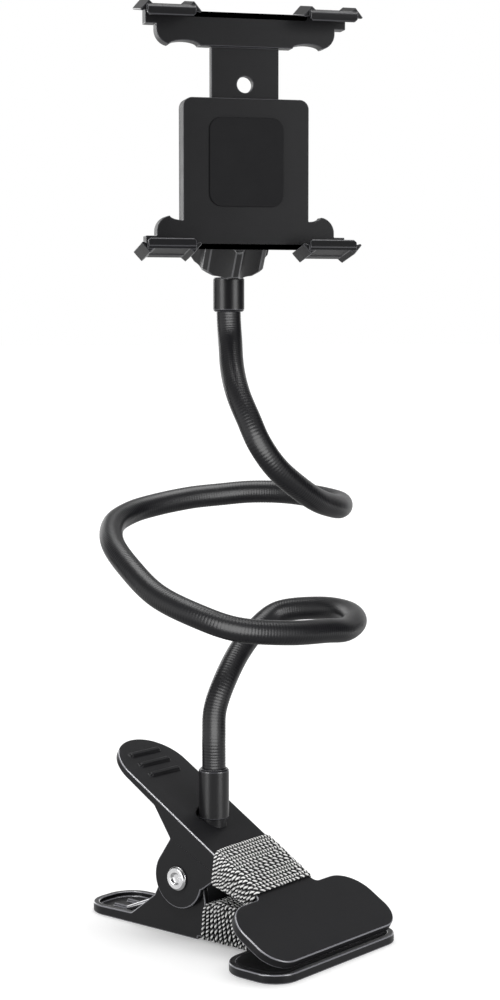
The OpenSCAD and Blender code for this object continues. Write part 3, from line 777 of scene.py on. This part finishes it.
def lower_place(share, point, wobble):
    left = LOWER_LEFT + LEFT_LEAN * point[1]
    right = LOWER_RIGHT - RIGHT_LEAN * point[1]
    return on_clamp(left + (right - left) * share + wobble, point[0], point[1])


def yarn_material(name, color, roughness):
    return surface_material(name, color, roughness, grain=0.6, grain_size=5200.0, drift=0.5, sheen=0.15)


black_yarn = yarn_material("black yarn", (0.006, 0.006, 0.007), 0.8)
white_yarn = yarn_material("white yarn", (0.86, 0.86, 0.85), 0.85)

# %% Wind the cord
for label, turns, section, place, body in (
        ("upper", UPPER_TURNS, upper_section, upper_place, "upper_clamp"),
        ("lower", LOWER_TURNS, lower_section, lower_place, "lower_clamp")):
    black, white = yarns(label + "_sleeve", winding(turns, section, place, 3 + turns), turns)
    finish_piece(black, body, "marl_cord", black_yarn, label + "_sleeve")
    finish_piece(white, body, "marl_cord", white_yarn, label + "_sleeve")

# %% [markdown]
# ## Studio
# A pale floor, a pale world, six lamps and three dark cards. The key is broad and stands above, so
# the floor gets the same light everywhere and meets the world without a line. Two upright strips
# draw a pair of soft bands down the round parts. The neck has a wide strip of its own, which gives
# its sheath one broad band. A lamp overhead draws the bright lines on the jaws' edges, which are
# also painted paler as a highlight, and a weak one lights the back. The cards are there for mirrors
# alone, and darken the sides of what is round and black.

# %% Studio
WORLD_LIGHT = 0.33
BACKDROP_EDGE = (0.15, 0.55)
FLOOR_GLOW = 0.28
MID_NECK = (0, 0, 0.14)
ON_CLAMP = (0, 0, 0.06)
CARD_AWAY = 0.6
CARD_HIGH = 0.7
CARD_STEPS = 12


def background_rays(tree):
    """1 for a ray from the eye, and 1 for a ray from a mirror or a lens."""
    rays = tree.nodes.new("ShaderNodeLightPath")
    mirrored = maths(tree, "MAXIMUM", rays.outputs["Is Glossy Ray"], rays.outputs["Is Transmission Ray"])
    return rays.outputs["Is Camera Ray"], mirrored


def white_world():
    """White to the eye. A mirror sees it white near the horizon, and dim overhead and below."""
    world = bpy.data.worlds.new("studio")
    scene.world = world
    world.use_nodes = True
    tree = world.node_tree
    background = tree.nodes["Background"]
    eye, mirrored = background_rays(tree)
    height = tree.nodes.new("ShaderNodeSeparateXYZ")
    tree.links.new(tree.nodes.new("ShaderNodeTexCoord").outputs["Generated"], height.inputs[0])
    backdrop = tree.nodes.new("ShaderNodeMapRange")
    backdrop.interpolation_type = "SMOOTHSTEP"
    for socket, value in zip(("From Min", "From Max", "To Min", "To Max"), (*BACKDROP_EDGE, 1.0, 0.0)):
        backdrop.inputs[socket].default_value = value
    tree.links.new(maths(tree, "ABSOLUTE", height.outputs["Z"], 0), backdrop.inputs["Value"])
    white = maths(tree, "MAXIMUM", eye, maths(tree, "MULTIPLY", backdrop.outputs["Result"], mirrored))
    strength = maths(tree, "ADD", WORLD_LIGHT, maths(tree, "MULTIPLY", white, 1 - WORLD_LIGHT))
    background.inputs["Color"].default_value = (1, 1, 1, 1)
    tree.links.new(strength, background.inputs["Strength"])


def pale_floor():
    """A floor with a little glow of its own, so it is white where the lamps reach it."""
    bpy.ops.object.select_all(action="DESELECT")
    bpy.ops.mesh.primitive_plane_add(size=60, location=(0, 0, 0))
    floor = bpy.context.object
    floor.name = "floor"
    bpy.ops.object.transform_apply(location=True, rotation=True, scale=True)
    material = bpy.data.materials.new("pale floor")
    material.use_nodes = True
    tree = material.node_tree
    shader = tree.nodes["Principled BSDF"]
    shader.inputs["Base Color"].default_value = (0.92, 0.92, 0.92, 1)
    shader.inputs["Roughness"].default_value = 1.0
    shader.inputs["Specular IOR Level"].default_value = 0.0
    shader.inputs["Emission Color"].default_value = (1, 1, 1, 1)
    white = maths(tree, "MAXIMUM", *background_rays(tree))
    tree.links.new(maths(tree, "MULTIPLY", white, FLOOR_GLOW), shader.inputs["Emission Strength"])
    floor.data.materials.append(material)
    floor.visible_glossy = False
    return floor


def black_card(name, start, end):
    """A curved dark card that only mirrors see. It darkens the sides of the round parts."""
    corners = []
    for step in range(CARD_STEPS + 1):
        angle = math.radians(start + (end - start) * step / CARD_STEPS)
        x, y = CARD_AWAY * math.sin(angle), -CARD_AWAY * math.cos(angle)
        corners += [(x, y, 0.001), (x, y, CARD_HIGH)]
    mesh = bpy.data.meshes.new(name)
    mesh.from_pydata(corners, [], [(2 * i, 2 * i + 2, 2 * i + 3, 2 * i + 1) for i in range(CARD_STEPS)])
    card = bpy.data.objects.new(name, mesh)
    scene.collection.objects.link(card)
    material = bpy.data.materials.new(name)
    material.use_nodes = True
    shader = material.node_tree.nodes["Principled BSDF"]
    shader.inputs["Base Color"].default_value = (0.05, 0.05, 0.05, 1)
    shader.inputs["Roughness"].default_value = 1.0
    shader.inputs["Specular IOR Level"].default_value = 0.0
    mesh.materials.append(material)
    card.visible_camera = card.visible_diffuse = card.visible_shadow = card.visible_transmission = False


def aim(lamp, place, target):
    lamp.location = place
    lamp.rotation_euler = (Vector(target) - Vector(place)).to_track_quat("-Z", "Y").to_euler()


def sky_lamp(name, direction, width, strength):
    """A lamp so far away that the whole floor gets the same light. Its width softens the shadow."""
    data = bpy.data.lights.new(name, "SUN")
    data.angle = math.radians(width)
    data.energy = strength
    lamp = bpy.data.objects.new(name, data)
    scene.collection.objects.link(lamp)
    aim(lamp, direction, (0, 0, 0))


def strip_lamp(name, place, target, size, power, only=(), without=()):
    """A soft box. It can be kept to some pieces, or off some, as a studio's screens would do."""
    data = bpy.data.lights.new(name, "AREA")
    data.shape = "RECTANGLE"
    data.size, data.size_y = size
    data.energy = power
    lamp = bpy.data.objects.new(name, data)
    lamp.visible_camera = False
    scene.collection.objects.link(lamp)
    aim(lamp, place, target)
    lit = bpy.data.collections.new(name + " reach")
    for thing in (*only, *without):
        lit.objects.link(thing)
    for kept_off in lit.collection_objects[len(only):]:
        kept_off.light_linking.link_state = "EXCLUDE"
    lamp.light_linking.receiver_collection = lit


white_world()
floor = pale_floor()
black_card("left card", -150, -118)
black_card("middle card", -44, 16)
black_card("right card", 60, 120)
sky_lamp("key", (0.10, 0.22, 1.2), 46, 2.2)
strip_lamp("left strip", (-0.91, -0.42, 0.22), MID_NECK, (0.50, 0.80), 7.0, without=(floor, neck))
strip_lamp("right strip", (0.60, -0.80, 0.22), MID_NECK, (0.50, 0.80), 7.0, without=(floor, neck))
strip_lamp("neck strip", (-0.08, -0.50, 0.17), MID_NECK, (0.60, 0.50), 5.0, only=(neck,))
strip_lamp("back light", (-0.45, 1.00, 0.40), MID_NECK, (0.60, 0.60), 1.6, without=(floor,))
strip_lamp("edge lamp", (-0.42, -0.26, 0.98), ON_CLAMP, (0.30, 0.30), 5.0, only=(upper_jaw, lower_jaw))
scene.view_settings.view_transform = "Standard"
print("lamps", [lamp.name for lamp in bpy.data.lights])
